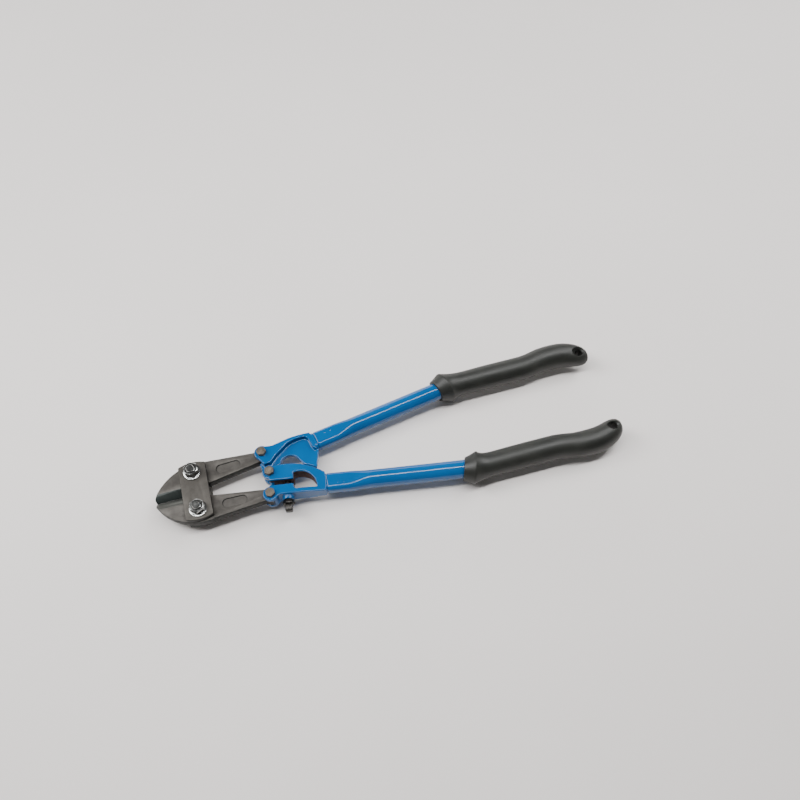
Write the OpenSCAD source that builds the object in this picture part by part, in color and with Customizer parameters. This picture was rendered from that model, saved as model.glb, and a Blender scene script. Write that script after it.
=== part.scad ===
// Hand bolt cutters: two forged cutting jaws between link plates, driven by two
// tubular handles with cast brackets.  Modelled closed and lying flat: X runs along
// the tool towards the grips, Y across it, Z along the hinge pins.

/* [Jaws] */
// Thickness of each forged jaw
jaw_t = 8.6; // [6:0.1:12]
// Distance between the two jaw pivots
jaw_spacing = 40; // [34:0.5:50]
// From the jaw pivots forward to the tip of the blades
jaw_reach = 40.5; // [34:0.5:50]
// Radius of the curved back of the blade
nose_r = 53; // [48:0.5:64]
// From the jaw pivots back to the tail pivots
tail_len = 69.5; // [58:0.5:90]
// How much further out the tail pivot lies than the jaw pivot
tail_rise = 3; // [1:0.25:6]
// Radius of the round eye at the end of each tail
tail_eye_r = 6.6; // [5.6:0.1:7.4]
// Depth of the jaw from its outer edge, just behind the plates
tail_depth = 24; // [20:0.5:28]
// Width of the ground bevel that forms each cutting edge
bevel_w = 8.3; // [6:0.1:10]
// Flat land left on each cutting edge
edge_land = 0.5; // [0.3:0.1:1]
// Gap between the closed cutting edges
blade_gap = 0.3; // [0.2:0.05:0.6]
// Length of the oblong recess in each jaw
recess_l = 24.5; // [16:0.5:30]
// Width of the oblong recess
recess_w = 9.2; // [6:0.2:11]
// Depth of the oblong recess
recess_d = 1; // [0.3:0.1:1.4]

/* [Link plates] */
// Width of each plate along the tool
plate_w = 26.6; // [20:0.2:30]
// Thickness of each plate
plate_t = 4.8; // [3.5:0.1:7]
// How far a plate reaches past the jaw pivots
plate_over = 11; // [10:0.25:14]
// Radius of the arched plate ends
plate_end_r = 34; // [24:0.5:60]
// Gap between a jaw and each plate
side_gap = 0.25; // [0.15:0.05:0.4]

/* [Jaw bolts] */
// Diameter of the jaw bolts
jaw_bolt_d = 8; // [6:0.5:10]
// Width across the flats of their heads and nuts
jaw_hex = 13; // [11:0.5:15]
// Height of their heads
jaw_head_h = 5.3; // [4:0.1:7]
// Height of their nuts
jaw_nut_h = 6.5; // [5:0.1:8]
// Outer diameter of their washers
washer_d = 17; // [15:0.5:18.5]
// Thickness of their washers
washer_t = 1.6; // [1:0.1:2]
// How far the bolt ends stand out of the nuts
bolt_end = 2.6; // [1.5:0.1:4]

/* [Link bolts] */
// Diameter of the three link bolts
link_bolt_d = 6; // [5:0.5:8]
// Width across the flats of their heads and nuts
link_hex = 8.5; // [8:0.5:12]
// Height of their heads
link_head_h = 4; // [3:0.1:5.5]
// Height of their nuts
link_nut_h = 5; // [3.5:0.1:6]
// How far their ends stand out of the nuts
link_end = 1; // [0.5:0.1:2]
// Radial running clearance of every pivot
run_gap = 0.05; // [0.02:0.01:0.09]

/* [Brackets] */
// From the tail pivots back to the centre pivot
centre_back = 3.5; // [2:0.25:5]
// Thickness of the cast brackets at the ears
bracket_t = 17; // [14:0.5:24]
// Radius of the bracket ears
ear_r = 7.4; // [6.8:0.1:8.5]
// Thickness of the thin web and tongue of the upper bracket
tongue_t = 5.4; // [4:0.1:9]
// Gap on each side of a jaw tail or tongue in its clevis
clevis_gap = 0.3; // [0.2:0.05:0.5]
// Play of the open centre pivot along its slot, each way
centre_play = 2.2; // [1.8:0.1:2.4]
// Length of a bracket from the centre pivot to the tube
bracket_l = 54.7; // [50:0.5:66]
// Offset of the tube axis outwards from the centre pivot
tube_off = 15.1; // [13:0.1:17]
// Gap at the closed stop between the hook and the lower bracket
stop_gap = 3; // [1:0.1:4]
// Radius of the lower bracket's curved back
back_r = 68; // [62:0.5:80]
// Width of the slit across the lower bracket
slit_w = 5; // [4.5:0.1:6]
// Radius of the half moon window in the lower bracket
window_r = 17; // [14:0.2:17.6]

/* [Adjusting screw] */
// Diameter of the adjusting screw
screw_d = 6; // [5:0.5:7]
// Width across the flats of its lock nut
lock_hex = 10; // [8:0.5:12]
// Height of the lock nut
lock_h = 4; // [3.5:0.1:6]
// Height of the cast boss that the lock nut seats on
boss_h = 4; // [2:0.25:6]
// Radius of that boss
boss_r = 6; // [5:0.25:7.5]
// Width of its square head
screw_head_w = 7; // [6:0.5:9]
// Height of its square head
screw_head_h = 7; // [5:0.5:10]
// From the centre pivot back to the screw
screw_u = 16.5; // [14.5:0.25:18]

/* [Handles] */
// Angle of each tube to the tool axis
handle_tilt = 9.5; // [7:0.25:12]
// Outer diameter of the tubes
tube_d = 18; // [16:0.5:20]
// Wall thickness of the tubes
tube_wall = 2; // [1.5:0.1:2.6]
// How much higher the flattened tube end is than the round tube
flat_over = 1.4; // [0:0.2:4]
// Thickness of the flattened tube end
flat_t = 12.6; // [11.6:0.2:16]
// Length of the flattened tube end
flat_l = 20; // [14:1:26]
// Length over which the tube turns from flat to round
blend_l = 22; // [14:1:30]
// From the bracket to the bend inside the grip
tube_run = 147; // [120:1:240]

/* [Grips] */
// From the bend to the end of the grip
grip_run = 150; // [120:1:200]
// From the front rim of the grip to its flare
rim_l = 11; // [8:0.5:14]
// From the flare back to the bend in the tube
flare_back = 2.5; // [1:0.5:5]
// Diameter of the grip at its front rim
rim_d = 23; // [22:0.5:26]
// Diameter of the flare
flare_d = 32.5; // [30:0.5:34]
// Diameter of the grip behind the flare
neck_d = 24.6; // [22.6:0.2:27]
// Thickness of the end of the grip
bulb_t = 25; // [20:0.5:28]
// Diameter of the hanging hole
hang_d = 8; // [6:0.5:9]
// From the hanging hole to the end of the grip
hang_back = 10; // [9:0.5:13]
// Thickness of the grip left round the hanging hole
hang_t = 13; // [10:0.5:16]

/* [Hidden] */
$fn = 72;

steel_grey = [0.42, 0.40, 0.38];
bright = [0.80, 0.81, 0.83];
bolt_brown = [0.46, 0.42, 0.36];
blue = [0.02, 0.38, 0.72];
black = [0.09, 0.09, 0.10];

eps = 0.01;                                     // overrun of a cut past a face
jaw_y = jaw_spacing / 2;
tail = [tail_len, jaw_y + tail_rise];           // upper tail pivot
centre_x = tail_len + centre_back;
flat_h = tube_d + flat_over;
pin_r = jaw_bolt_d / 2;
link_r = link_bolt_d / 2;
plate_in = jaw_t / 2 + side_gap;
plate_out = plate_in + plate_t;
head_face = plate_out + washer_t;               // where jaw bolt heads and nuts seat
bracket_face = bracket_t / 2;                   // where link bolt heads and nuts seat
jaw_slot_h = jaw_t / 2 + clevis_gap;            // half width of the clevises for the tails
tongue_slot_h = tongue_t / 2 + clevis_gap;      // half width of the clevis for the tongue
flare_r = flare_d / 2;
base_z = max(head_face + jaw_head_h, flare_r);  // height of the mid plane above the ground

// A handle frame has its origin at the centre pivot, its x along the tube and its y
// outwards.  These are the tail pivot and the end of the tool in and out of that frame.
function to_handle(p) = [
    (p.x - centre_x) * cos(handle_tilt) + p.y * sin(handle_tilt),
    p.y * cos(handle_tilt) - (p.x - centre_x) * sin(handle_tilt)];
tail_h = to_handle(tail);
bend_x = bracket_l + tube_run;                  // the corner of the tube's centre line
bend_tool_x = centre_x + bend_x * cos(handle_tilt) - tube_off * sin(handle_tilt);
grip_end_x = bend_tool_x + grip_run;
mid_x = (grip_end_x - jaw_reach) / 2;           // the middle of the tool's length

// ---- placing ---------------------------------------------------------------------

// Moves the tool so that it stands on z = 0 with its middle over the origin
module place() {
    translate([-mid_x, 0, base_z]) children();
}

// The upper half as drawn, or the lower half mirrored from it
module half(side) {
    if (side > 0) children();
    else mirror([0, 1, 0]) children();
}

// Into a handle frame
module on_handle(side) {
    half(side) translate([centre_x, 0, 0]) rotate(handle_tilt) children();
}

// A prism on both sides of the mid plane
module slab(h) {
    translate([0, 0, -h]) linear_extrude(2 * h) children();
}

// ---- fasteners -------------------------------------------------------------------

// A hexagon prism with chamfered corners on both ends or on its top end only
module hex_block(flats, h, both = true) {
    corner = flats / sqrt(3);
    drop = (corner - flats / 2) * tan(30);
    foot = both ? flats / 2 : corner;
    foot_z = both ? drop : 0;
    intersection() {
        cylinder(h = h, r = corner, $fn = 6);
        rotate_extrude()
            polygon([[0, 0], [foot, 0], [corner, foot_z], [corner, h - drop], [flats / 2, h], [0, h]]);
    }
}

// A bolt with its head at the bottom, its shank from z = 0 up, and a domed end
module bolt(d, flats, head_h, shank) {
    dome = d * 0.14;
    translate([0, 0, -head_h]) mirror([0, 0, 1]) translate([0, 0, -head_h]) hex_block(flats, head_h, false);
    cylinder(h = shank - dome, r = d / 2);
    translate([0, 0, shank - dome]) cylinder(h = dome, r1 = d / 2, r2 = d / 2 - dome);
}

module nut(d, flats, h) {
    difference() {
        hex_block(flats, h);
        translate([0, 0, -eps]) cylinder(h = h + 2 * eps, r = d / 2);
    }
}

module washer(d, outer, t) {
    difference() {
        cylinder(h = t, r = outer / 2);
        translate([0, 0, -eps]) cylinder(h = t + 2 * eps, r = d / 2 + run_gap);
    }
}

module jaw_bolt(side) {
    color(bright) place() translate([0, side * jaw_y, -head_face])
        bolt(jaw_bolt_d, jaw_hex, jaw_head_h, 2 * head_face + jaw_nut_h + bolt_end);
}

module jaw_nut(side) {
    color(bright) place() translate([0, side * jaw_y, head_face]) nut(jaw_bolt_d, jaw_hex, jaw_nut_h);
}

// face is 1 for the front of the tool and -1 for the back
module jaw_washer(side, face) {
    z = face > 0 ? plate_out : -head_face;
    color(bright) place() translate([0, side * jaw_y, z]) washer(jaw_bolt_d, washer_d, washer_t);
}

// Link bolts have their heads in front
module link_bolt(p) {
    color(bolt_brown) place() translate([p.x, p.y, bracket_face]) mirror([0, 0, 1])
        bolt(link_bolt_d, link_hex, link_head_h, bracket_t + link_nut_h + link_end);
}

module link_nut(p) {
    color(bolt_brown) place() translate([p.x, p.y, -bracket_face - link_nut_h])
        nut(link_bolt_d, link_hex, link_nut_h);
}

// ---- jaws ------------------------------------------------------------------------

nose_c = [6, 32 - nose_r + (jaw_y - 20)];       // centre of the curved back of the blade
tip_cut = [1, 2.4];                             // the corner taken off the blade's tip
heel_x = -1;                                    // where the bevel ends under the plates
outer_x = 12;                                   // where the straight outer edge of the tail starts
outer_y = jaw_y + 10.9;
inner_x = 13;                                   // where the straight inner edge of the tail starts
inner_y = outer_y - tail_depth;

// The jaw seen from the front
module jaw_outline() {
    tip_x = -jaw_reach;
    // the tail's outer edge meets the eye where the bracket's ear covers it
    eye_y = tail.y + tail_eye_r * 0.55;
    union() {
        intersection() {
            translate(nose_c) circle(nose_r, $fn = 160);
            translate([tip_x, blade_gap / 2]) square([outer_x - tip_x, 2 * nose_r]);
            // the heel: the inner edge leaves the cutting edge and climbs to the tail
            polygon([[tip_x, tip_cut.y], [tip_x + tip_cut.x, 0], [heel_x, 0], [heel_x + 5, 2.2],
                     [inner_x, inner_y], [inner_x, 3 * nose_r], [tip_x, 3 * nose_r]]);
        }
        polygon([[outer_x - 4, inner_y], [inner_x, inner_y], tail + [0.8, -tail_eye_r], tail,
                 [tail.x - tail_eye_r * 0.8, eye_y], [outer_x, outer_y], [outer_x - 4, outer_y]]);
        translate(tail) circle(tail_eye_r);
    }
}

// What the grinding of one face of the cutting edge takes away
module bevel_cut() {
    rise = jaw_t / 2 - edge_land / 2;
    translate([-jaw_reach - 1, blade_gap / 2, 0]) rotate([90, 0, 90])
        linear_extrude(jaw_reach + 1 + plate_w / 2)
            polygon([[-1, edge_land / 2], [0, edge_land / 2], [bevel_w, edge_land / 2 + rise],
                     [bevel_w, jaw_t], [-1, jaw_t]]);
}

// The oblong recess lies midway in the tail, a third of the way back
module recess_cut() {
    mid = [tail_len * 0.495, jaw_y - 0.8];
    half_l = (recess_l - recess_w) / 2;
    translate([mid.x, mid.y, jaw_t / 2 - recess_d]) rotate(2)
        linear_extrude(recess_d + 1) union() {
            for (end = [-1, 1]) translate([end * half_l, 0]) circle(recess_w / 2);
            square([2 * half_l, recess_w], center = true);
        }
}

module jaw(side) {
    color(steel_grey) place() half(side) difference() {
        slab(jaw_t / 2) jaw_outline();
        bevel_cut();
        mirror([0, 0, 1]) bevel_cut();
        recess_cut();
        translate([0, jaw_y, -jaw_t]) cylinder(h = 2 * jaw_t, r = pin_r + run_gap);
        translate([tail.x, tail.y, -jaw_t]) cylinder(h = 2 * jaw_t, r = link_r + run_gap);
    }
}

// ---- link plates -----------------------------------------------------------------

plate_h = jaw_y + plate_over;                   // half height of a plate at its crown
plate_edge = 0.7;                               // chamfer round a plate's outer face

module plate_outline(inset = 0) {
    intersection() {
        square([plate_w - 2 * inset, 2 * plate_h], center = true);
        translate([0, plate_h - plate_end_r]) circle(plate_end_r - inset, $fn = 120);
        translate([0, plate_end_r - plate_h]) circle(plate_end_r - inset, $fn = 120);
    }
}

// Both plates are the same; the rear one is turned over
module plate(face) {
    color(steel_grey) place() mirror([0, 0, face > 0 ? 0 : 1]) difference() {
        translate([0, 0, plate_in]) union() {
            linear_extrude(plate_t - plate_edge) plate_outline();
            linear_extrude(plate_t) plate_outline(plate_edge);
        }
        for (side = [-1, 1])
            translate([0, side * jaw_y, 0]) cylinder(h = 2 * plate_out, r = pin_r + run_gap);
    }
}

// ---- brackets --------------------------------------------------------------------

flat_corner = 5;                                // rounding of the flattened tube's corners
tang_gap = 0.1;                                 // between the tang and the tube's wall
tang_l = flat_l - 2;
seat_u = bracket_l - 3;                         // where the casting takes on the tube's form
free_r = ear_r + centre_play + clevis_gap;      // room for an ear round the centre pivot
tail_free_r = tail_eye_r + clevis_gap + 0.1;    // room for a tail eye in its clevis
mid_half = flat_h / 2;
play_turn = 36;                                 // the slot's slope: the mean turn of a handle
play_side = 0.5;                                // play across the slot

// A rounded rectangle round the tube's axis, seen along it, as a bar of length l
module bar(h, t, r, l) {
    rotate([90, 0, 90]) linear_extrude(l) union() {
        square([h - 2 * r, t], center = true);
        square([h, t - 2 * r], center = true);
        for (a = [-1, 1], b = [-1, 1]) translate([a * (h / 2 - r), b * (t / 2 - r)]) circle(r);
    }
}

// The tang that the tube is pressed onto, and the block in front of it
module tube_seat(block_l) {
    skin = tube_wall + tang_gap;
    // the block is rounded like the tube, so the square-edged casting stops short of it
    translate([bracket_l - block_l, tube_off, 0]) bar(flat_h, flat_t, flat_corner, block_l);
    translate([bracket_l - eps, tube_off, 0])
        bar(flat_h - 2 * skin, flat_t - 2 * skin, flat_corner - skin, tang_l);
}

// The bracket thins from its ears to its tube
module taper() {
    start = bracket_l * 0.62;
    rotate([90, 0, 0]) translate([0, 0, -100]) linear_extrude(200)
        polygon([[-20, -bracket_face], [start, -bracket_face], [bracket_l, -flat_t / 2],
                 [bracket_l, flat_t / 2], [start, bracket_face], [-20, bracket_face]]);
}

// Clears a tail's eye and its swing as the handle opens, in a handle frame
module tail_clearance() {
    translate([tail_h.x, tail_h.y, 0]) slab(jaw_slot_h) union() {
        circle(tail_free_r);
        rotate(-handle_tilt) translate([-30, -ear_r - 1.5]) square([30.4, 44]);
    }
}

module pivot_hole(p) {
    translate([p.x, p.y, -bracket_t]) cylinder(h = 2 * bracket_t, r = link_r + run_gap);
}

// The thick arm: the tail ears, a tapering rib along the top and the end block
module arm_outline() {
    top = tube_off + mid_half;
    union() {
        translate(tail_h) circle(ear_r);
        difference() {
            polygon([tail_h + [-ear_r + 1.2, -3.5], [-1.5, 9], [2.2, 8], [12, 14.6], [26.4, 21.8],
                     [34, 23], [42.6, 22.8], [46.2, 21.3], [48, 18], [48.3, 9], [50.5, 5.6],
                     [seat_u, tube_off - mid_half], [seat_u, top], [47, top + 0.7], [40, 26.3],
                     [30, 27], [18, 26.5], [12, 26.4], tail_h + [5, 5.2], tail_h]);
            circle(free_r);
        }
    }
}

back_c = [14.7, back_r - 7];                    // centre of the lower bracket's curved back
lower_end = bracket_l - 1.2;                    // the lower casting stops just short of the tube

// The thin web: the tongue at the centre pivot, the arch and the stop hook
module web_outline() {
    hook_r = back_r + stop_gap;
    difference() {
        union() {
            circle(ear_r - 0.2);
            polygon([tail_h + [-ear_r + 2, -3.5], [-ear_r + 0.4, 2], [0, -2], [6.8, 1.5], [13, 4],
                     [26, -2], [33.4, -1.8], [33.9, -3.2], [35.1, -4.4], [36.4, -14], [42, -14],
                     [44.4, -11.6], [45.6, -10.2], [47.2, -6.4], [50, -1.4],
                     [bracket_l - 1, tube_off - mid_half + 0.5], [bracket_l - 1, tube_off],
                     [46, 24], [28, 24], tail_h]);
        }
        // the arch over the gap
        translate([21.6, 1.4]) circle(10.3);
        translate([24, -3]) circle(9.6);
        // the closed stop follows the lower bracket's back
        rotate(-2 * handle_tilt) mirror([0, 1, 0]) translate(back_c) circle(hook_r, $fn = 200);
    }
}

module upper_bracket() {
    color(blue) place() on_handle(1) difference() {
        union() {
            intersection() {
                slab(bracket_face) arm_outline();
                taper();
            }
            slab(tongue_t / 2) web_outline();
            tube_seat(5.5);
        }
        tail_clearance();
        pivot_hole(tail_h);
        // the open centre pivot: a slot hidden in the clevis gives the pin its play
        slab(bracket_t) rotate(-handle_tilt - play_turn) union() {
            for (end = [-1, 1]) translate([0, end * centre_play]) circle(link_r + play_side);
            square([2 * (link_r + play_side), 2 * centre_play], center = true);
        }
    }
}

slit_v = 12.15;                                 // the slit's middle, outwards from the pivot
floor_v = tube_off + mid_half;                  // the bracket's outer edge
window_c = [28.3, 19.2];                        // centre of the window's round side
window_left = 22.8;
corner_r = 2.5;

// The half moon window with rounded corners
module window_outline() {
    flat_v = window_c.y + 1;
    difference() {
        intersection() {
            translate(window_c) circle(window_r);
            translate([window_left, -30]) square([60, 30 + flat_v]);
        }
        // the corner between the flat side and the left side
        translate([window_left, flat_v - corner_r]) difference() {
            square([corner_r, corner_r]);
            translate([corner_r, 0]) circle(corner_r);
        }
    }
}

module lower_outline() {
    union() {
        circle(ear_r);
        translate(tail_h) circle(ear_r);
        intersection() {
            translate(back_c) circle(back_r, $fn = 200);
            polygon([[3, -20], [lower_end, -20], [lower_end, floor_v], [10, floor_v],
                     [7.4, floor_v + 1], [5.2, floor_v + 3], tail_h, [-1, slit_v], [-1, 0]]);
        }
    }
}

// The axis of the adjusting screw, from its seat up through the slit
module on_screw() {
    translate([screw_u, floor_v, 0]) rotate([90, 0, 0]) children();
}

screw_reach = floor_v - slit_v + slit_w / 2 + 4;  // how far the screw goes in past the outer edge
screw_bore = boss_h + screw_reach + 1.3;          // its bore, with a little room at both ends

module lower_bracket() {
    color(blue) place() on_handle(-1) difference() {
        union() {
            intersection() {
                slab(bracket_face) lower_outline();
                taper();
            }
            tube_seat(4);
            on_screw() translate([0, 0, -boss_h]) cylinder(h = 2 * boss_h, r = boss_r);
        }
        tail_clearance();
        // clevis for the tongue of the upper bracket
        slab(tongue_slot_h) union() {
            circle(free_r);
            translate([-30, -30]) square([30, 30 + free_r]);
        }
        // the slit, open at the front and running into the window
        slab(bracket_t) union() {
            translate([-30, slit_v - slit_w / 2]) square([30 + window_left + 3, slit_w]);
            window_outline();
        }
        pivot_hole([0, 0]);
        pivot_hole(tail_h);
        on_screw() translate([0, 0, -boss_h - 1]) cylinder(h = screw_bore, r = screw_d / 2 + run_gap);
    }
}

// ---- adjusting screw -------------------------------------------------------------

module adjusting_screw() {
    stem = boss_h + lock_h + 0.7;
    color(bolt_brown) place() on_handle(-1) on_screw() {
        translate([0, 0, -stem]) cylinder(h = stem + screw_reach, r = screw_d / 2);
        translate([0, 0, -stem - screw_head_h]) intersection() {
            translate([-screw_head_w / 2, -screw_head_w / 2, 0])
                cube([screw_head_w, screw_head_w, screw_head_h]);
            cylinder(h = screw_head_h, r = screw_head_w * 0.62);
        }
    }
}

module lock_nut() {
    color(bolt_brown) place() on_handle(-1) on_screw() translate([0, 0, -boss_h - lock_h - 0.15])
        difference() {
            hex_block(lock_hex, lock_h);
            translate([0, 0, -eps]) cylinder(h = lock_h + 2 * eps, r = screw_d / 2 + run_gap);
        }
}

// ---- handles ---------------------------------------------------------------------

tube_end_run = grip_run - hang_back - hang_d / 2 - 9;   // the tube stops short of the hole

// Everything past the corner of the tube's centre line, where its two lengths meet
module past_corner() {
    big = 2 * (tube_run + grip_run);
    translate([tube_run, 0, 0]) rotate(-handle_tilt / 2) translate([0, -big / 2, -big / 2]) cube(big);
}

// The tube's form, grown by a wall's thickness or shrunk by it
module tube_form(grow = 0) {
    r = tube_d / 2 + grow;
    corner = flat_corner + grow;
    start = flat_l + blend_l;
    over = grow < 0 ? 1 : 0;                    // an inner form runs out of both ends
    lap = 0.1;                                  // overlap of neighbouring lengths
    translate([bracket_l, tube_off, 0]) {
        translate([-over, 0, 0]) bar(flat_h + 2 * grow, flat_t + 2 * grow, corner, flat_l + over);
        hull() {
            translate([flat_l - lap, 0, 0])
                bar(flat_h + 2 * grow, flat_t + 2 * grow, corner, lap, $fn = 32);
            translate([start, 0, 0]) rotate([0, 90, 0]) cylinder(h = lap, r = r, $fn = 48);
        }
        difference() {
            translate([start, 0, 0]) rotate([0, 90, 0]) cylinder(h = tube_run - start + r, r = r);
            past_corner();
        }
        // inside the grip the tube turns parallel to the tool
        intersection() {
            translate([tube_run, 0, 0]) rotate(-handle_tilt) translate([-r, 0, 0])
                rotate([0, 90, 0]) cylinder(h = r + tube_end_run + over, r = r);
            past_corner();
        }
    }
}

// Two pressed dimples on each flat face lock the tube to the tang
module dimples() {
    ball = 1.5;
    for (face = [-1, 1], x = [11, 16.5])
        translate([bracket_l + x, tube_off + 2.8, face * (flat_t / 2 + ball / 2)]) sphere(ball);
}

module tube(side) {
    color(blue) place() on_handle(side) difference() {
        tube_form();
        tube_form(-tube_wall);
        dimples();
    }
}

// ---- grips -----------------------------------------------------------------------

// Half profile of the rim, flare and neck along the tube, from the rim back
module flare_profile() {
    polygon([[0, 0], [0, rim_d / 2], [rim_l * 0.3, rim_d / 2 + 0.6], [rim_l * 0.8, flare_r - 0.9],
             [rim_l, flare_r], [rim_l + 1.4, flare_r - 0.6], [rim_l + 3.6, neck_d / 2 + 1.2],
             [rim_l + 7, neck_d / 2], [rim_l + flare_back, 0]]);
}

hang_y = -3.2;                                  // the hole lies inwards of the grip's middle

module grip_body() {
    bulb_x = grip_run - 31;
    swell_x = bulb_x - 19;
    hang_x = grip_run - hang_back;
    // the straight handle
    rotate([0, 90, 0]) cylinder(h = bulb_x, r = neck_d / 2);
    // the swelling end, which turns in towards the tool
    hull() {
        translate([swell_x - 18, 0, 0]) rotate([0, 90, 0]) cylinder(h = 1, r = neck_d / 2, $fn = 32);
        translate([swell_x, 3.7, 0]) sphere(bulb_t / 2, $fn = 28);
        translate([bulb_x, 4, 0]) sphere(bulb_t / 2 + 0.3, $fn = 28);
        translate([hang_x - 4, -1.5, 0]) sphere(bulb_t / 2 - 0.4, $fn = 28);
        translate([hang_x + 1.6, -4, 0])
            cylinder(h = bulb_t * 0.56, r = hang_back - 1.6, center = true, $fn = 32);
    }
}

module grip(side) {
    color(black) place() on_handle(side) difference() {
        translate([bracket_l, tube_off, 0]) union() {
            translate([tube_run - rim_l - flare_back, 0, 0]) rotate([0, 90, 0]) rotate([0, 0, 90])
                rotate_extrude() rotate(90) mirror([0, 1]) flare_profile();
            translate([tube_run, 0, 0]) rotate(-handle_tilt) grip_body();
        }
        tube_form();
        // the hanging hole, in a round sinking on each face
        translate([bracket_l + tube_run, tube_off, 0]) rotate(-handle_tilt)
            translate([grip_run - hang_back, hang_y, 0]) {
                translate([0, 0, -bulb_t]) cylinder(h = 2 * bulb_t, r = hang_d / 2);
                for (face = [0, 1]) mirror([0, 0, face]) translate([0, 0, hang_t / 2])
                    cylinder(h = bulb_t, r = hang_d / 2 + 1.8);
            }
    }
}

jaw(1);  // upper_jaw
jaw(-1);  // lower_jaw
plate(1);  // front_plate
plate(-1);  // rear_plate
jaw_bolt(1);  // upper_jaw_bolt
jaw_bolt(-1);  // lower_jaw_bolt
jaw_nut(1);  // upper_jaw_nut
jaw_nut(-1);  // lower_jaw_nut
jaw_washer(1, 1);  // upper_front_washer
jaw_washer(-1, 1);  // lower_front_washer
jaw_washer(1, -1);  // upper_rear_washer
jaw_washer(-1, -1);  // lower_rear_washer
upper_bracket();
lower_bracket();
link_bolt(tail);  // upper_link_bolt
link_bolt([tail.x, -tail.y]);  // lower_link_bolt
link_bolt([centre_x, 0]);  // centre_bolt
link_nut(tail);  // upper_link_nut
link_nut([tail.x, -tail.y]);  // lower_link_nut
link_nut([centre_x, 0]);  // centre_nut
adjusting_screw();
lock_nut();
tube(1);  // upper_tube
tube(-1);  // lower_tube
grip(1);  // upper_grip
grip(-1);  // lower_grip
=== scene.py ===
"""Looks of a pair of hand bolt cutters, closed and lying flat on a pale floor."""

import math

import bpy
from mathutils import Matrix, Vector


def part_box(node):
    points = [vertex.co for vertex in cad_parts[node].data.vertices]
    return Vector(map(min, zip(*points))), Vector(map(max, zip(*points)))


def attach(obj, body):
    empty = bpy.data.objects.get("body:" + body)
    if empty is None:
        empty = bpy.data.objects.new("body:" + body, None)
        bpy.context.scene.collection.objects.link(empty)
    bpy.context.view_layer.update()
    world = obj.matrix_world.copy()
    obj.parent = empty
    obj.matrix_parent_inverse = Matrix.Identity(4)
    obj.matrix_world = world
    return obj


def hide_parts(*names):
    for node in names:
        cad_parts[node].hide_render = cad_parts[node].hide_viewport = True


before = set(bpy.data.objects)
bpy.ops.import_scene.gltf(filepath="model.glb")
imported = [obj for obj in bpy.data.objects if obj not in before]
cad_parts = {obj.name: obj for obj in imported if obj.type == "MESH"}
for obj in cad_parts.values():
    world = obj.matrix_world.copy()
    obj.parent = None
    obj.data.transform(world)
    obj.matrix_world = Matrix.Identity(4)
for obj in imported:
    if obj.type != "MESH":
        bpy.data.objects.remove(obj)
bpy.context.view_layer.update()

MM = 0.001
HANDLE_TILT = math.radians(9.5)  # of each handle tube to the tool's axis
CENTRE_X = 73  # from the jaw pivots back to the centre pivot, in mm
BRACKET_L = 54.7  # from the centre pivot to the front end of a tube
TUBE_OFF = 15.1  # of the tube's axis outwards from the centre pivot
TUBE_RUN = 147  # from the front end of a tube to the bend inside its grip
TUBE_R = 9.0
FLAT_HALF_H = 9.7  # half height of a tube's flattened end
FLAT_HALF_T = 6.3  # half its thickness
FLAT_CORNER = 5  # the rounding of its corners
FLAT_L = 20  # its length
BLEND_L = 22  # the length over which the tube turns round
JAW_PIN_R = 4.0
JAW_HALF_T = 4.3
RECESS = (34.4, 19.2)  # the middle of a jaw's recess, back from and out from the jaw pivots' centre
RECESS_D = 1.0
LINK_PIN_R = 3.0
SLIT_V = 12.15  # the slit's middle in the lower bracket, outwards from the centre pivot
EAR_HALF_T = 8.5  # half the thickness of a bracket's ears


# ---- places ----------------------------------------------------------------------


def middle(node):
    low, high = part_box(node)
    return (low + high) / 2


jaw_bolt_at = middle("upper_jaw_bolt")
plates_mid = (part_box("front_plate")[1].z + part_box("rear_plate")[0].z) / 2
TOOL = Vector((jaw_bolt_at.x, 0, plates_mid))  # between the jaw pivots, on the mid plane


def on_tool(x, y, z):
    """A place given in mm from the point between the jaw pivots."""
    return TOOL + Vector((x, y, z)) * MM


def on_handle(side, u, v, z):
    """A place in mm along and outwards of a handle; side is 1 for the upper one, -1 for the lower."""
    x = CENTRE_X + u * math.cos(HANDLE_TILT) - v * math.sin(HANDLE_TILT)
    y = u * math.sin(HANDLE_TILT) + v * math.cos(HANDLE_TILT)
    return on_tool(x, side * y, z)


def in_handle(side, point):
    """The other way round: a point's mm along, outwards and up from the handle's mid plane."""
    p = (point - TOOL) / MM
    x, y = p.x - CENTRE_X, side * p.y
    return Vector((
        x * math.cos(HANDLE_TILT) + y * math.sin(HANDLE_TILT),
        y * math.cos(HANDLE_TILT) - x * math.sin(HANDLE_TILT),
        p.z,
    ))


# ---- bench work ------------------------------------------------------------------


def clear_bench():
    if bpy.context.object and bpy.context.object.mode != "OBJECT":
        bpy.ops.object.mode_set(mode="OBJECT")
    bpy.ops.object.select_all(action="DESELECT")


def pick(piece):
    clear_bench()
    piece.select_set(True)
    bpy.context.view_layer.objects.active = piece


def settle(piece, name=None):
    """Puts a piece's place, turn and size into its mesh."""
    pick(piece)
    bpy.ops.object.transform_apply(location=True, rotation=True, scale=True)
    if name:
        piece.name = piece.data.name = name
    return piece


def edit(piece, mode="VERT"):
    pick(piece)
    bpy.ops.object.mode_set(mode="EDIT")
    bpy.ops.mesh.select_mode(type=mode)


def leave():
    bpy.ops.object.mode_set(mode="OBJECT")


def face_outwards(piece):
    edit(piece)
    bpy.ops.mesh.select_all(action="SELECT")
    bpy.ops.mesh.remove_doubles(threshold=1e-6)
    bpy.ops.mesh.normals_make_consistent(inside=False)
    leave()
    return piece


def select_faces(piece, wanted):
    """Back in edit mode with only the wanted faces selected."""
    edit(piece, "FACE")
    bpy.ops.mesh.select_all(action="DESELECT")
    leave()
    for face in piece.data.polygons:
        face.select = wanted(face)
    bpy.ops.object.mode_set(mode="EDIT")


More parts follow.
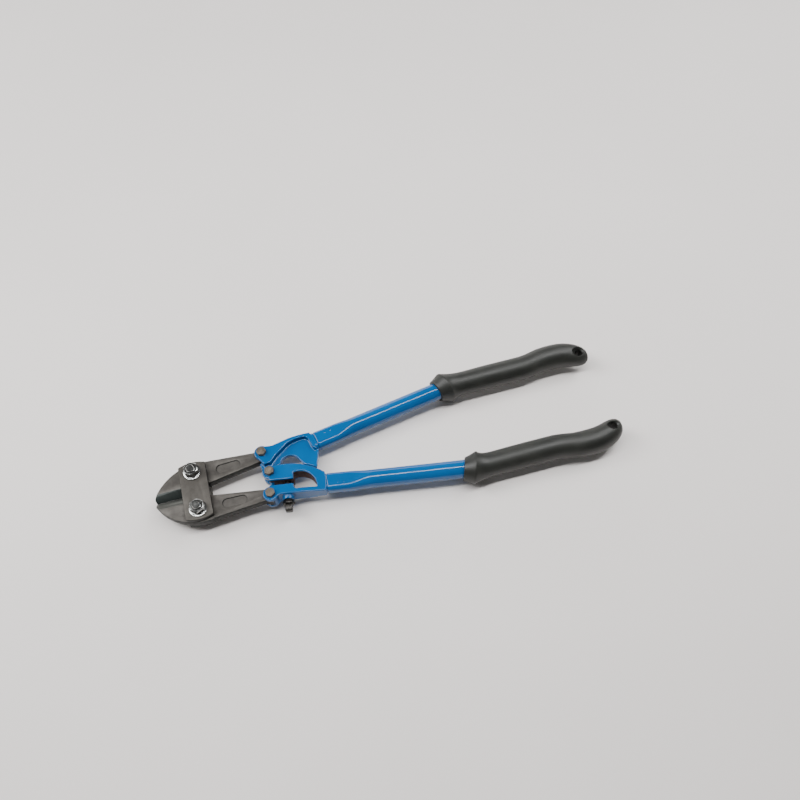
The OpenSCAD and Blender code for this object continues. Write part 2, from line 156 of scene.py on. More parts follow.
def apply_modifier(piece, kind, **settings):
    pick(piece)
    modifier = piece.modifiers.new(kind.lower(), kind)
    for key, value in settings.items():
        setattr(modifier, key, value)
    bpy.ops.object.modifier_apply(modifier=modifier.name)
    return piece


def ease_edges(piece, width, segments=2, angle=30):
    return apply_modifier(
        piece, "BEVEL", width=width * MM, segments=segments, limit_method="ANGLE",
        angle_limit=math.radians(angle), harden_normals=False,
    )


def carve(piece, tool, operation="DIFFERENCE"):
    apply_modifier(piece, "BOOLEAN", object=tool, operation=operation, solver="EXACT")
    bpy.data.objects.remove(tool)
    return piece


def join(piece, *others):
    pick(piece)
    for other in others:
        other.select_set(True)
    bpy.ops.object.join()
    return piece


def smooth(piece, angle=35):
    pick(piece)
    bpy.ops.object.shade_smooth_by_angle(angle=math.radians(angle))
    return piece


def loft(name, rings):
    """A closed skin over rings of points: a circle is extruded, and each ring moved into place."""
    clear_bench()
    count = len(rings[0])
    bpy.ops.mesh.primitive_circle_add(vertices=count, radius=MM, fill_type="NOTHING")
    piece = bpy.context.object
    edit(piece)
    bpy.ops.mesh.select_all(action="SELECT")
    for _ in rings[1:]:
        bpy.ops.mesh.extrude_region_move(TRANSFORM_OT_translate={"value": (0, 0, MM)})
    leave()
    places = {}
    for vertex in piece.data.vertices:
        level = round(vertex.co.z / MM)
        turn = round(math.atan2(vertex.co.y, vertex.co.x) / (2 * math.pi) * count) % count
        places[vertex.index] = (level, turn)
    for vertex in piece.data.vertices:
        level, turn = places[vertex.index]
        vertex.co = rings[level][turn]
    for end in (0, len(rings) - 1):
        edit(piece)
        bpy.ops.mesh.select_all(action="DESELECT")
        leave()
        for vertex in piece.data.vertices:
            vertex.select = places.get(vertex.index, (None,))[0] == end
        bpy.ops.object.mode_set(mode="EDIT")
        bpy.ops.mesh.edge_face_add()
        leave()
    piece.name = piece.data.name = name
    return face_outwards(piece)


def round_ring(centre, across, up, half_w, half_h, count=48):
    """An oval ring about a centre, across and up being unit vectors and the halves in mm."""
    turns = [2 * math.pi * i / count for i in range(count)]
    return [
        centre + (across * half_w * math.cos(a) + up * half_h * math.sin(a)) * MM for a in turns
    ]


def box_ring(centre, across, up, half_w, half_h, corner, count=48):
    """A ring shaped as a rounded rectangle, or a circle when the corner equals both halves."""
    ring = []
    for i in range(count):
        a = 2 * math.pi * (i + 0.5) / count
        c, s = math.cos(a), math.sin(a)
        x = (half_w - corner) * (1 if c > 0 else -1) + corner * c
        y = (half_h - corner) * (1 if s > 0 else -1) + corner * s
        ring.append(centre + (across * x + up * y) * MM)
    return ring


def turned(name, axis_point, axis, profile, count=48):
    """A turned piece: each pair of the profile is mm along the axis and the radius there."""
    axis = axis.normalized()
    across = axis.orthogonal().normalized()
    up = axis.cross(across)
    rings = [round_ring(axis_point + axis * s * MM, across, up, r, r, count) for s, r in profile]
    return loft(name, rings)


def hexagon(name, centre, axis, flats, low, high, chamfer_low=True, turn=0.0):
    """A hexagon bar along an axis, its corners turned down at the top and, if asked, at the bottom."""
    clear_bench()
    corner = flats / math.sqrt(3)
    bpy.ops.mesh.primitive_cylinder_add(vertices=6, radius=corner * MM, depth=(high - low) * MM)
    bar = bpy.context.object
    bpy.ops.transform.translate(value=(0, 0, (high + low) / 2 * MM))
    bar.rotation_euler = (0, 0, turn)
    settle(bar)
    drop = (corner - flats / 2) * math.tan(math.radians(30)) * 1.15
    past_corner = corner * 1.01
    foot = [(low - 1, past_corner)]
    if chamfer_low:
        foot = [(low, flats / 2 * 0.97), (low + drop, past_corner)]
    top = [(high - drop, past_corner), (high, flats / 2 * 0.97)]
    carve(bar, turned("turning", Vector(), Vector((0, 0, 1)), foot + top, 64), "INTERSECT")
    bar.rotation_euler = Vector((0, 0, 1)).rotation_difference(axis).to_euler()
    bar.location = centre
    settle(bar, name)
    return ease_edges(bar, 0.22, 2, 25)


# ---- finishes --------------------------------------------------------------------


class Finish:
    """A material in the making: a shader, its Object coordinates and a few ways to vary them."""

    def __init__(self, name, **shader):
        self.material = bpy.data.materials.new(name)
        self.material.use_nodes = True
        self.nodes = self.material.node_tree.nodes
        self.links = self.material.node_tree.links
        self.shader = self.nodes["Principled BSDF"]
        for socket, value in shader.items():
            self.shader.inputs[socket.replace("_", " ")].default_value = value
        self.place = self.nodes.new("ShaderNodeTexCoord").outputs["Object"]
        self.height = None

    def stretched(self, scale):
        mapping = self.nodes.new("ShaderNodeMapping")
        mapping.inputs["Scale"].default_value = scale
        self.links.new(self.place, mapping.inputs["Vector"])
        return mapping.outputs["Vector"]

    def noise(self, scale, detail=3.0, roughness=0.55, place=None):
        noise = self.nodes.new("ShaderNodeTexNoise")
        noise.inputs["Scale"].default_value = scale
        noise.inputs["Detail"].default_value = detail
        noise.inputs["Roughness"].default_value = roughness
        self.links.new(place or self.place, noise.inputs["Vector"])
        return noise.outputs["Fac"]

    def ramp(self, value, stops):
        """Colours at places from 0 to 1; each stop is (place, (r, g, b))."""
        ramp = self.nodes.new("ShaderNodeValToRGB")
        elements = ramp.color_ramp.elements
        while len(elements) < len(stops):
            elements.new(0.5)
        for element, (at, colour) in zip(elements, stops):
            element.position = at
            element.color = (*colour, 1)
        self.links.new(value, ramp.inputs["Fac"])
        return ramp.outputs["Color"]

    def range(self, value, low, high, start=0.3, end=0.7):
        span = self.nodes.new("ShaderNodeMapRange")
        span.inputs["From Min"].default_value = start
        span.inputs["From Max"].default_value = end
        span.inputs["To Min"].default_value = low
        span.inputs["To Max"].default_value = high
        self.links.new(value, span.inputs["Value"])
        return span.outputs["Result"]

    def mix(self, factor, first, second):
        mix = self.nodes.new("ShaderNodeMix")
        mix.data_type = "RGBA"
        self.links.new(factor, mix.inputs["Factor"])
        for socket, colour in (("A", first), ("B", second)):
            target = next(i for i in mix.inputs if i.name == socket and i.type == "RGBA")
            if isinstance(colour, tuple):
                target.default_value = (*colour, 1)
            else:
                self.links.new(colour, target)
        return next(o for o in mix.outputs if o.type == "RGBA")

    def colour(self, output):
        self.links.new(output, self.shader.inputs["Base Color"])

    def gloss(self, output):
        self.links.new(output, self.shader.inputs["Roughness"])

    def relief(self, value, depth, strength=1.0):
        """Adds a height, its depth in mm, on top of any relief given before."""
        bump = self.nodes.new("ShaderNodeBump")
        bump.inputs["Strength"].default_value = strength
        bump.inputs["Distance"].default_value = depth * MM
        self.links.new(value, bump.inputs["Height"])
        if self.height:
            self.links.new(self.height, bump.inputs["Normal"])
        self.height = bump.outputs["Normal"]
        self.links.new(self.height, self.shader.inputs["Normal"])


def forged_steel(name, dark, light):
    """Oiled, heat treated forging: mottled scale over a fine grain."""
    f = Finish(name, Metallic=0.55, Specular_IOR_Level=0.35)
    mottle = f.noise(90, 6, 0.65)
    f.colour(f.ramp(mottle, [(0.3, dark), (0.7, light)]))
    f.gloss(f.range(f.noise(260, 4), 0.42, 0.62))
    f.relief(f.noise(1500, 3, 0.6), 0.05, 0.5)
    f.relief(mottle, 0.12, 0.35)
    return f.material


def ground_steel(name, dark, light, metallic):
    """Cutting bevels: smoother than the forging, with fine grinding marks across the edge."""
    f = Finish(name, Metallic=metallic, Specular_IOR_Level=0.3)
    lines = f.noise(900, 4, 0.7, f.stretched((4, 0.25, 0.25)))
    f.colour(f.ramp(lines, [(0.25, dark), (0.75, light)]))
    f.gloss(f.range(lines, 0.28, 0.40))
    f.relief(lines, 0.012, 0.5)
    return f.material


def plating():
    f = Finish("bright zinc plating", Metallic=1.0)
    cloud = f.noise(240, 5, 0.6)
    f.colour(f.ramp(cloud, [(0.25, (0.24, 0.245, 0.24)), (0.75, (0.42, 0.425, 0.415))]))
    f.gloss(f.range(cloud, 0.10, 0.24))
    f.relief(f.noise(700, 3), 0.03, 0.35)
    return f.material


def oxide_steel(name, dark, light, low=0.34, high=0.55):
    """Black or brown oxide on bolts and nuts, worn a little lighter in places."""
    f = Finish(name, Metallic=0.75)
    cloud = f.noise(330, 6, 0.65)
    f.colour(f.ramp(cloud, [(0.3, dark), (0.62, light), (0.8, tuple(c * 1.35 for c in light))]))
    f.gloss(f.range(f.noise(600, 4), low, high))
    f.relief(cloud, 0.05, 0.4)
    return f.material


def enamel():
    """Thick glossy blue enamel over cast and drawn steel, with a slight orange peel."""
    f = Finish(
        "blue enamel", Metallic=0.0, Coat_Weight=0.8, Coat_Roughness=0.05, Coat_IOR=1.5,
        Specular_IOR_Level=0.06,
    )
    tone = f.noise(28, 3, 0.5)
    base = f.ramp(tone, [(0.3, (0.0, 0.072, 0.225)), (0.7, (0.0, 0.088, 0.270))])
    specks = f.range(f.noise(1300, 2, 0.6), 0.0, 1.0, 0.735, 0.76)
    f.colour(f.mix(specks, base, (0.01, 0.17, 0.40)))
    f.gloss(f.range(tone, 0.26, 0.38))
    f.relief(f.noise(420, 2, 0.5), 0.02, 0.35)
    return f.material


def raw_casting():
    """The masked walls of the slit and the window: bare primer brown."""
    f = Finish("unpainted casting", Metallic=0.1, Specular_IOR_Level=0.3)
    f.colour(f.ramp(f.noise(420, 5, 0.7), [(0.3, (0.045, 0.028, 0.026)), (0.7, (0.15, 0.085, 0.075))]))
    f.gloss(f.range(f.noise(500, 3), 0.6, 0.85))
    f.relief(f.noise(900, 4, 0.7), 0.12, 0.6)
    return f.material


def vinyl():
    """Soft black vinyl: satin, with a fine pebble grain."""
    f = Finish("black grip vinyl", Metallic=0.0, Specular_IOR_Level=0.45)
    tone = f.noise(60, 4, 0.6)
    f.colour(f.ramp(tone, [(0.3, (0.0085, 0.0095, 0.0080)), (0.7, (0.0165, 0.0175, 0.0145))]))
    f.gloss(f.range(tone, 0.40, 0.52))
    f.relief(f.noise(2100, 2, 0.5), 0.035, 0.5)
    return f.material


def floor_paint():
    f = Finish("pale studio floor", Metallic=0.0, Specular_IOR_Level=0.2)
    f.colour(f.ramp(f.noise(3, 3, 0.5), [(0.3, (0.75, 0.715, 0.695)), (0.7, (0.78, 0.745, 0.725))]))
    f.gloss(f.range(f.noise(40, 3), 0.75, 0.9))
    return f.material


JAW_STEEL = forged_steel("forged jaw steel", (0.047, 0.043, 0.039), (0.084, 0.078, 0.070))
# a near black copy of the forged steel: painted shade for the jaws' and plates' side faces and round
# the jaws' recesses
PAINTED_SHADE_STEEL = forged_steel("painted shade steel", (0.007, 0.008, 0.007), (0.020, 0.021, 0.019))
PLATE_STEEL = forged_steel("link plate steel", (0.047, 0.043, 0.038), (0.078, 0.072, 0.064))
# one ground finish in a shaded and a lit copy: the upper bevel, facing down, is near black and duller
# as painted shade; the lower, facing up, is lighter and more metallic, partly bright grinding and
# partly painted light
BEVEL_STEEL_SHADED_AND_LIT = {
    "upper": ground_steel("upper ground bevel, painted shade", (0.010, 0.014, 0.013), (0.024, 0.030, 0.028), 0.3),
    "lower": ground_steel("lower ground bevel, painted light", (0.080, 0.083, 0.076), (0.130, 0.132, 0.120), 0.85),
}
PLATING = plating()
BOLT_STEEL = oxide_steel("brown oxide bolts", (0.070, 0.057, 0.044), (0.135, 0.115, 0.092))
SCREW_STEEL = oxide_steel("black oxide screw", (0.006, 0.006, 0.005), (0.022, 0.020, 0.018), 0.22, 0.38)
ENAMEL = enamel()
RAW = raw_casting()
VINYL = vinyl()


def hand_over(piece, body, node, slot, *finishes):
    """Gives a finished piece its materials and its place in the tool."""
    if not piece.data.materials:
        for finish in finishes:
            piece.data.materials.append(finish)
    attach(piece, body)
    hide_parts(node)
    return piece


# ---- jaws and plates -------------------------------------------------------------


def blank(node, name):
    """A merged copy of a node with its flat faces made whole, as the blank for a finer piece."""
    clear_bench()
    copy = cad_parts[node].copy()
    copy.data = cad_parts[node].data.copy()
    copy.parent = None
    copy.data.materials.clear()
    for key in list(copy.keys()):
        del copy[key]
    bpy.context.scene.collection.objects.link(copy)
    copy.hide_render = copy.hide_viewport = False
    copy.name = copy.data.name = name
    edit(copy)
    bpy.ops.mesh.select_all(action="SELECT")
    bpy.ops.mesh.customdata_custom_splitnormals_clear()
    bpy.ops.mesh.remove_doubles(threshold=2e-6)
    bpy.ops.mesh.dissolve_limited(angle_limit=math.radians(0.5))
    bpy.ops.mesh.normals_make_consistent(inside=False)
    leave()
    return copy


def jaw(side, word):
    piece = blank(f"{word}_jaw", f"forged_{word}_jaw")
    ease_edges(piece, 0.32, 2, 28)
    # a ring inset round the foot of the recess, to carry painted shade
    floor_z = JAW_HALF_T - RECESS_D
    recess_floor = TOOL.z + floor_z * MM
    select_faces(
        piece, lambda face: face.normal.z > 0.99 and abs(face.center.z - recess_floor) < 0.1 * MM
    )
    bpy.ops.mesh.inset(thickness=0.45 * MM)
    leave()
    smooth(piece, 30)
    for finish in (JAW_STEEL, BEVEL_STEEL_SHADED_AND_LIT[word], PAINTED_SHADE_STEEL):
        piece.data.materials.append(finish)
    # the recess walls, the ring at the recess foot and the jaw's side faces get the near black steel:
    # painted shade
    for face in piece.data.polygons:
        centre = (face.center - TOOL) / MM
        by_recess = abs(centre.x - RECESS[0]) < 13 and abs(abs(centre.y) - RECESS[1]) < 5.6
        by_recess = by_recess and centre.z > 2.5
        ring = abs(centre.z - floor_z) < 0.1 and face.area < 60 * MM * MM
        edge_of_jaw = abs(face.normal.z) < 0.45
        if (by_recess and (face.normal.z < 0.97 or ring)) or edge_of_jaw:
            face.material_index = 2
        bevelled = abs(face.normal.y) > 0.3 and abs(face.normal.z) > 0.6
        if bevelled and abs(centre.y) < 8.7 and centre.x < 13:
            face.material_index = 1
    hand_over(piece, f"{word}_jaw", f"{word}_jaw", "forged_steel")


def arc(centre, radius, start, end, count):
    """Points on an arc in mm, from one angle to another in degrees."""
    turns = [math.radians(start + (end - start) * i / (count - 1)) for i in range(count)]
    return [(centre[0] + radius * math.cos(a), centre[1] + radius * math.sin(a)) for a in turns]


def plate(node, name):
    """A pressed link plate: an arched outline extruded, drilled, and eased round its outer face."""
    low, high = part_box(node)
    half_w, half_h = (high.x - low.x) / 2 / MM, high.y / MM
    radius = 34  # of the arched ends
    sweep = math.degrees(math.asin(half_w / radius))
    outline = arc((0, half_h - radius), radius, 90 - sweep, 90 + sweep, 25)
    outline += arc((0, radius - half_h), radius, 270 - sweep, 270 + sweep, 25)
    clear_bench()
    bpy.ops.mesh.primitive_circle_add(vertices=len(outline), radius=MM, fill_type="NGON")
    piece = bpy.context.object
    for vertex, (x, y) in zip(piece.data.vertices, outline):
        vertex.co = (TOOL.x + x * MM, y * MM, low.z)
    edit(piece, "FACE")
    bpy.ops.mesh.select_all(action="SELECT")
    bpy.ops.mesh.extrude_region_move(TRANSFORM_OT_translate={"value": (0, 0, high.z - low.z)})
    leave()
    settle(piece, name)
    face_outwards(piece)
    for bolt_y in (jaw_bolt_at.y, -jaw_bolt_at.y):
        clear_bench()
        bpy.ops.mesh.primitive_cylinder_add(
            vertices=48, radius=(JAW_PIN_R + 0.1) * MM, depth=0.02,
            location=(TOOL.x, bolt_y, (low.z + high.z) / 2),
        )
        carve(piece, settle(bpy.context.object))
    ease_edges(piece, 0.55, 3, 40)
    smooth(piece, 30)
    piece.data.materials.append(PLATE_STEEL)
    piece.data.materials.append(PAINTED_SHADE_STEEL)
    # the plate's side faces get the near black steel: painted shade along its edges
    for face in piece.data.polygons:
        face.material_index = 1 if abs(face.normal.z) < 0.45 else 0
    hand_over(piece, "link", node, "plate_steel")


# ---- fasteners -------------------------------------------------------------------

UP = Vector((0, 0, 1))


def threaded(low, high, radius, pitch):
    """Profile of a thread's crests and roots, ending in a chamfer."""
    profile = []
    s = low
    while s < high - 0.9:
        profile += [(s, radius - 0.42), (s + pitch * 0.5, radius)]
        s += pitch
    return profile + [(high - 0.75, radius - 0.1), (high, radius - 0.8)]


def jaw_bolt(word):
    low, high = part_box(f"{word}_jaw_bolt")
    nut_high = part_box(f"{word}_jaw_nut")[1]
    washer_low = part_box(f"{word}_rear_washer")[0]
    foot = Vector((TOOL.x, middle(f"{word}_jaw_bolt").y, 0))
    head = hexagon(f"plated_{word}_jaw_bolt", foot, UP, 13, low.z / MM, washer_low.z / MM)
    start = (low.z + washer_low.z) / 2 / MM
    profile = [(start, JAW_PIN_R), (nut_high.z / MM - 0.5, JAW_PIN_R)]
    profile += threaded(nut_high.z / MM - 0.3, high.z / MM, JAW_PIN_R, 1.25)
    shank = turned("shank", foot, UP, profile)
    smooth(join(head, shank), 40)
    hand_over(head, "link", f"{word}_jaw_bolt", "bright_plating", PLATING)


def jaw_nut(word, turn):
    low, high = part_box(f"{word}_jaw_nut")
    foot = Vector((TOOL.x, middle(f"{word}_jaw_nut").y, 0))
    nut = hexagon(f"plated_{word}_jaw_nut", foot, UP, 12.9, low.z / MM, high.z / MM, turn=turn)
    top = high.z / MM
    bore = turned("bore", foot, UP, [
        (low.z / MM - 1, 4.02), (top - 0.7, 4.02), (top + 0.01, 4.7), (top + 1, 4.7),
    ])
    carve(nut, bore)
    smooth(nut, 40)
    hand_over(nut, "link", f"{word}_jaw_nut", "bright_plating", PLATING)


def washer(word, face):
    node = f"{word}_{face}_washer"
    low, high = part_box(node)
    foot = Vector((TOOL.x, middle(node).y, 0))
    a, b, outer = low.z / MM, high.z / MM, (high.x - low.x) / 2 / MM
    rim = 0.45
    disc = turned(
        f"plated_{node}", foot, UP,
        [(a, outer - rim), (a + 0.12, outer - 0.12), (a + rim, outer), (b - rim, outer),
         (b - 0.12, outer - 0.12), (b, outer - rim)], 72,
    )
    bore = turned("bore", foot, UP, [(a - 1, 4.1), (b + 1, 4.1)])
    carve(disc, bore)
    smooth(disc, 40)
    hand_over(disc, "link", node, "bright_plating", PLATING)


def link_bolt(node, body, turn):
    """A link bolt has its head in front and its threaded end behind."""
    low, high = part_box(node)
    middle_at = middle(node)
    foot = Vector((middle_at.x, middle_at.y, 0))
    ear = plates_mid / MM + EAR_HALF_T
    head = hexagon(f"oxide_{node}", foot, UP, 8.5, ear, high.z / MM, chamfer_low=False, turn=turn)
    # the head's face is dished a little
    select_faces(head, lambda face: face.normal.z > 0.99 and face.center.z > high.z - 0.05 * MM)
    bpy.ops.mesh.inset(thickness=0.9 * MM)
    bpy.ops.transform.translate(value=(0, 0, -0.18 * MM))
    leave()
    back_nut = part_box(node.replace("bolt", "nut"))[0].z / MM
    profile = [
        (low.z / MM, LINK_PIN_R - 0.7), (low.z / MM + 0.6, LINK_PIN_R),
        (back_nut + 0.6, LINK_PIN_R), (ear + 1, LINK_PIN_R),
    ]
    shank = turned("shank", foot, UP, profile, 40)
    smooth(join(head, shank), 40)
    hand_over(head, body, node, "bolt_steel", BOLT_STEEL)


def link_nut(node, body, turn):
    low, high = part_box(node)
    middle_at = middle(node)
    foot = Vector((middle_at.x, middle_at.y, 0))
    nut = hexagon(f"oxide_{node}", foot, UP, 8.45, low.z / MM, high.z / MM, turn=turn)
    a = low.z / MM
    bore = turned("bore", foot, UP, [
        (a - 1, 3.5), (a - 0.01, 3.5), (a + 0.5, 3.02), (high.z / MM + 1, 3.02),
    ], 40)
    carve(nut, bore)
    smooth(nut, 40)
    hand_over(nut, body, node, "bolt_steel", BOLT_STEEL)


SCREW_U = 16.5  # from the centre pivot back to the adjusting screw
FLOOR_V = TUBE_OFF + FLAT_HALF_H  # the lower bracket's outer edge
BOSS_H = 4  # of the cast boss under the lock nut
SCREW_R = 3.0
SCREW_ROOT = 2.7  # radius at the foot of its thread


def adjusting_screw():
    """A long screw with a square head, locked by a hexagon nut under the lower bracket."""
    outward = (on_handle(-1, 0, 1, 0) - on_handle(-1, 0, 0, 0)).normalized()
    seat = on_handle(-1, SCREW_U, FLOOR_V, 0)
    stem = BOSS_H + 4.7
    across = (on_handle(-1, 1, 0, 0) - on_handle(-1, 0, 0, 0)).normalized()
    head = loft("oxide_adjusting_screw", [
        box_ring(seat + outward * s * MM, across, UP, half, half, corner, 40)
        for s, half, corner in (
            (stem, 3.1, 0.5), (stem + 0.3, 3.45, 0.6), (stem + 6.1, 3.45, 0.6),
            (stem + 6.7, 3.15, 0.9), (stem + 6.95, 2.5, 1.2),
        )
    ])
    end = -(FLOOR_V - SLIT_V + 2.5 + 4)
    profile = [(end, SCREW_R - 0.8), (end + 0.8, SCREW_R), (BOSS_H + 4.0, SCREW_R)]
    profile += [
        (BOSS_H + 4.1, SCREW_ROOT), (BOSS_H + 4.35, SCREW_R),
        (BOSS_H + 4.6, SCREW_ROOT), (stem + 1, SCREW_ROOT),
    ]
    shank = turned("shank", seat, outward, profile, 40)
    smooth(join(head, shank), 40)
    hand_over(head, "adjusting_screw", "adjusting_screw", "bolt_steel", SCREW_STEEL)

    nut_turn = math.radians(12)
    nut = hexagon(
        "oxide_lock_nut", seat, outward, 9.95, BOSS_H + 0.15, BOSS_H + 4.15, turn=nut_turn
    )
    bore = turned("bore", seat, outward, [
        (0, 3.04), (BOSS_H + 3.7, 3.04), (BOSS_H + 4.2, 3.5), (BOSS_H + 6, 3.5),
    ], 40)
    carve(nut, bore)
    smooth(nut, 40)
    hand_over(nut, "lock_nut", "lock_nut", "bolt_steel", SCREW_STEEL)


# ---- cast brackets ---------------------------------------------------------------


def cast_bracket(side, word):
    """The bracket as it leaves the mould: cut off at the tube, its edges and inner corners softened."""
    piece = blank(f"{word}_bracket", f"cast_{word}_bracket")
    along = (on_handle(side, 1, 0, 0) - on_handle(side, 0, 0, 0)).normalized()
    edit(piece)
    bpy.ops.mesh.select_all(action="SELECT")
    bpy.ops.mesh.bisect(
        plane_co=on_handle(side, BRACKET_L - 0.1, 0, 0), plane_no=along, use_fill=True, clear_outer=True
    )
    bpy.ops.mesh.select_all(action="SELECT")
    bpy.ops.mesh.normals_make_consistent(inside=False)
    leave()
    apply_modifier(piece, "REMESH", mode="VOXEL", voxel_size=0.42 * MM, adaptivity=0.0)
    apply_modifier(piece, "SMOOTH", factor=0.5, iterations=12)
    pick(piece)
    bpy.ops.object.shade_smooth()
    piece.data.materials.append(ENAMEL)
    if side < 0:
        piece.data.materials.append(RAW)
        for face in piece.data.polygons:
            p = in_handle(side, face.center)
            in_slit = abs(p.y - SLIT_V) < 3.1 and -8 < p.x < 24
            in_window = 21.5 < p.x < 46 and 1.0 < p.y < 21.0
            if (in_slit or in_window) and abs(face.normal.z) < 0.45 and abs(p.z) < 6.6:
                face.material_index = 1
    hand_over(piece, f"{word}_handle", f"{word}_bracket", "blue_enamel")


# ---- handles ---------------------------------------------------------------------


def handle_axes(side, bend=0.0):
    """Unit vectors along, outwards and up, bend being 0 on the tube and 1 past its corner."""
    turn = side * HANDLE_TILT * (1 - bend)
    along = Vector((math.cos(turn), math.sin(turn), 0))
    return along, Vector((-math.sin(turn), math.cos(turn), 0)) * side, UP


def grip_point(side, s, out=0.0):
    """A point on the grip's centre line: s in mm from the corner, back past it if positive."""
    along, _, _ = handle_axes(side, 1.0 if s > 0 else 0.0)
    _, outward, _ = handle_axes(side, 1.0)
    return on_handle(side, BRACKET_L + TUBE_RUN, TUBE_OFF, 0) + along * s * MM + outward * out * MM


def tube(side, word):
    """A drawn tube, pressed flat where it grips the bracket's tang."""
    _, outward, up = handle_axes(side)
    lip = 0.7  # the rounded lip at the front end
    rings = []
    for u, grow in ((0.12, -0.7), (0.25, -0.25), (lip, 0.0)):
        rings.append((u, FLAT_HALF_H + grow, FLAT_HALF_T + grow, FLAT_CORNER + grow))
    for i in range(1, 12):
        rings.append((lip + (FLAT_L - lip) * i / 12, FLAT_HALF_H, FLAT_HALF_T, FLAT_CORNER))
    steps = 14
    for i in range(steps + 1):
        t = i / steps
        ease = t * t * (3 - 2 * t)
        rings.append((
            FLAT_L + BLEND_L * t,
            FLAT_HALF_H + (TUBE_R - FLAT_HALF_H) * ease,
            FLAT_HALF_T + (TUBE_R - FLAT_HALF_T) * ease,
            FLAT_CORNER + (TUBE_R - FLAT_CORNER) * ease,
        ))
    for u in (*range(44, TUBE_RUN - 9, 6), TUBE_RUN - 9):
        rings.append((u, TUBE_R, TUBE_R, TUBE_R))
    piece = loft(f"enamelled_{word}_tube", [
        box_ring(on_handle(side, BRACKET_L + u, TUBE_OFF, 0), outward, up, w, h, corner, 64)
        for u, w, h, corner in rings
    ])
    # two pressed dimples on each flat face
    for face in (-1, 1):
        for x in (11, 16.5):
            clear_bench()
            z = face * (FLAT_HALF_T + 1.05)
            bpy.ops.mesh.primitive_uv_sphere_add(
                segments=24, ring_count=12, radius=1.5 * MM,
                location=on_handle(side, BRACKET_L + x, TUBE_OFF + 2.8, z),
            )
            carve(piece, settle(bpy.context.object))
    ease_edges(piece, 0.2, 2, 30)
    smooth(piece, 35)
    hand_over(piece, f"{word}_handle", f"{word}_tube", "blue_enamel", ENAMEL)


# along the grip from the bend, outward shift, half width, half thickness
GRIP_SECTIONS = [
    (-13.5, 0.0, 9.4, 9.4), (-13.5, 0.0, 10.6, 10.6), (-13.3, 0.0, 11.2, 11.2),
    (-12.9, 0.0, 11.5, 11.5), (-10.5, 0.0, 12.3, 12.3), (-7.0, 0.0, 14.0, 14.0),
    (-3.6, 0.0, 15.7, 15.7), (-3.0, 0.0, 15.95, 15.95), (-2.4, 0.0, 15.9, 16.0),
    (-1.8, 0.0, 15.7, 15.7), (0.6, 0.0, 14.5, 14.5), (3.5, 0.0, 13.45, 13.45),
    (7.0, 0.0, 12.65, 12.65), (11.0, 0.0, 12.2, 12.2), (16.0, 0.0, 12.0, 12.0),
    (24.0, 0.0, 12.05, 12.05), (36.0, 0.0, 12.3, 12.3), (50.0, 0.0, 12.35, 12.35),
    (66.0, 0.0, 12.3, 12.3), (80.0, 0.1, 12.3, 12.3), (88.0, 1.0, 12.35, 12.3),
    (94.0, 2.3, 12.5, 12.35), (100.0, 3.4, 12.6, 12.4), (108.0, 4.0, 12.75, 12.5),
    (116.0, 4.0, 12.8, 12.55), (122.0, 3.6, 12.8, 12.5), (128.0, 2.5, 12.8, 12.2),
    (134.0, 0.8, 12.7, 11.7), (139.0, -0.9, 12.1, 10.9), (143.0, -2.3, 10.8, 9.9),
    (146.0, -3.2, 9.2, 8.6), (148.5, -3.9, 6.6, 6.4), (149.6, -4.1, 4.2, 4.2),
    (149.95, -4.2, 2.0, 2.0),
]
GUARD_SLANT = math.tan(math.radians(11))  # the guard leans forward on its outer side
HANG_S, HANG_OUT = 140.0, -3.2  # the hanging hole, from the bend and out from the middle


def grip(side, word):
    """A dipped vinyl grip: flared guard, waist, swelling end with a hanging hole in an oval dish."""
    rings = []
    for s, out, half_w, half_h in GRIP_SECTIONS:
        bend = min(max((s + 4.5) / 9.0, 0.0), 1.0)
        along, outward, up = handle_axes(side, bend)
        slant = GUARD_SLANT * min(max((14 - s) / 12, 0.0), 1.0)
        across = outward - along * slant
        rings.append(round_ring(grip_point(side, s, out), across, up, half_w, half_h, 72))
    piece = loft(f"vinyl_{word}_grip", rings)
    hang = grip_point(side, HANG_S, HANG_OUT)
    for face in (-1, 1):
        clear_bench()
        bpy.ops.mesh.primitive_uv_sphere_add(
            segments=48, ring_count=24, radius=MM, location=hang + Vector((0, 0, face * 12.2 * MM))
        )
        dish = bpy.context.object
        dish.scale = (7.6, 5.9, 6.0)
        carve(piece, settle(dish))
    clear_bench()
    bpy.ops.mesh.primitive_cylinder_add(vertices=48, radius=4 * MM, depth=0.05, location=hang)
    carve(piece, settle(bpy.context.object))
    ease_edges(piece, 0.5, 3, 50)
    smooth(piece, 24)
    hand_over(piece, f"{word}_handle", f"{word}_grip", "grip_vinyl", VINYL)


# ---- the tool --------------------------------------------------------------------

for side, word in ((1, "upper"), (-1, "lower")):
    jaw(side, word)
    jaw_bolt(word)
    jaw_nut(word, math.radians(8 * side))
    washer(word, "front")
    washer(word, "rear")
    cast_bracket(side, word)
    tube(side, word)
    grip(side, word)
plate("front_plate", "pressed_front_plate")
plate("rear_plate", "pressed_rear_plate")
for kind, make in (("bolt", link_bolt), ("nut", link_nut)):
    make(f"upper_link_{kind}", "upper_handle", math.radians(20))
    make(f"lower_link_{kind}", "lower_handle", math.radians(4))
    make(f"centre_{kind}", "lower_handle", math.radians(-10))
adjusting_screw()


# ---- floor, light and camera -----------------------------------------------------

clear_bench()
bpy.ops.mesh.primitive_grid_add(x_subdivisions=40, y_subdivisions=40, size=5)
floor = bpy.context.object
floor.name = "studio_floor"
edit(floor)
bpy.ops.mesh.select_all(action="DESELECT")
leave()
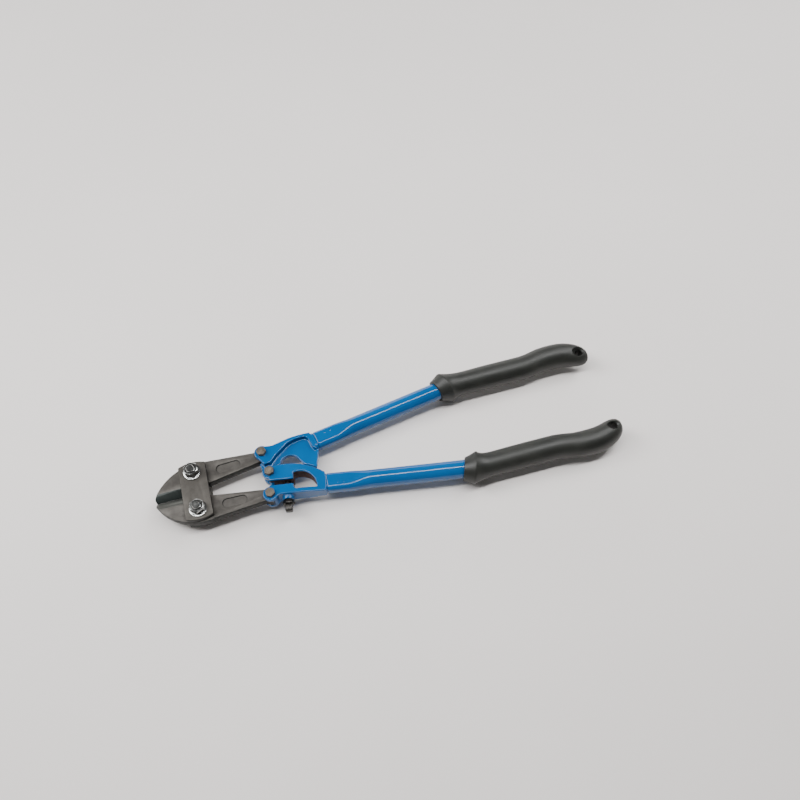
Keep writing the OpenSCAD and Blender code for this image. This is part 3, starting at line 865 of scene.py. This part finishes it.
# the far end rises
for vertex in floor.data.vertices:
    vertex.select = vertex.co.y > 1.6
bpy.ops.object.mode_set(mode="EDIT")
bpy.ops.transform.translate(value=(0, 0, 0.6))
leave()
smooth(floor, 80)
floor.data.materials.append(floor_paint())


def soft_light(name, place, size, energy, aim=(0, 0, 0), colour=(1, 1, 1)):
    lamp = bpy.data.lights.new(name, "AREA")
    lamp.shape = "RECTANGLE"
    lamp.size, lamp.size_y = size
    lamp.energy = energy
    lamp.color = colour
    holder = bpy.data.objects.new(name, lamp)
    holder.location = place
    holder.rotation_euler = (Vector(aim) - Vector(place)).to_track_quat("-Z", "Y").to_euler()
    bpy.context.scene.collection.objects.link(holder)
    return holder


# the strip's aim keeps its long side along the tool
soft_light("overhead strip", (0.0, 0.06, 1.3), (1.9, 0.13), 22, (0.0, 0.1, 0.0))
soft_light("key from the jaws' side", (-1.1, 0.5, 1.1), (0.8, 0.8), 21)
soft_light("key from the grips' side", (1.1, 0.5, 1.1), (0.8, 0.8), 14)
soft_light("low back light", (0.0, 1.5, 0.38), (1.6, 0.4), 6)
world = bpy.data.worlds.new("pale room")
bpy.context.scene.world = world
world.use_nodes = True
world.node_tree.nodes["Background"].inputs["Color"].default_value = (0.80, 0.80, 0.80, 1)
world.node_tree.nodes["Background"].inputs["Strength"].default_value = 0.19

AIM = on_tool(176.8, 0, 0)
# the camera's own axes, looking down over the tool from its lower handle's side
RIGHT = Vector((0.9654, -0.2563, -0.0482))
DOWN = Vector((-0.2491, -0.8517, -0.461))
FORWARD = Vector((0.0771, 0.4571, -0.8861))
eye = AIM - FORWARD * 0.7365
camera = bpy.data.cameras.new("camera")
camera.sensor_width = 36
camera.lens = 36 * 742.4 / 800  # a focal length of 742.4 on a frame of 800
camera.shift_x = 26.99 / 800
camera.shift_y = 49.03 / 800
camera_holder = bpy.data.objects.new("camera", camera)
camera_holder.matrix_world = Matrix((
    (RIGHT.x, -DOWN.x, -FORWARD.x, eye.x),
    (RIGHT.y, -DOWN.y, -FORWARD.y, eye.y),
    (RIGHT.z, -DOWN.z, -FORWARD.z, eye.z),
    (0, 0, 0, 1),
))
bpy.context.scene.collection.objects.link(camera_holder)
bpy.context.scene.camera = camera_holder
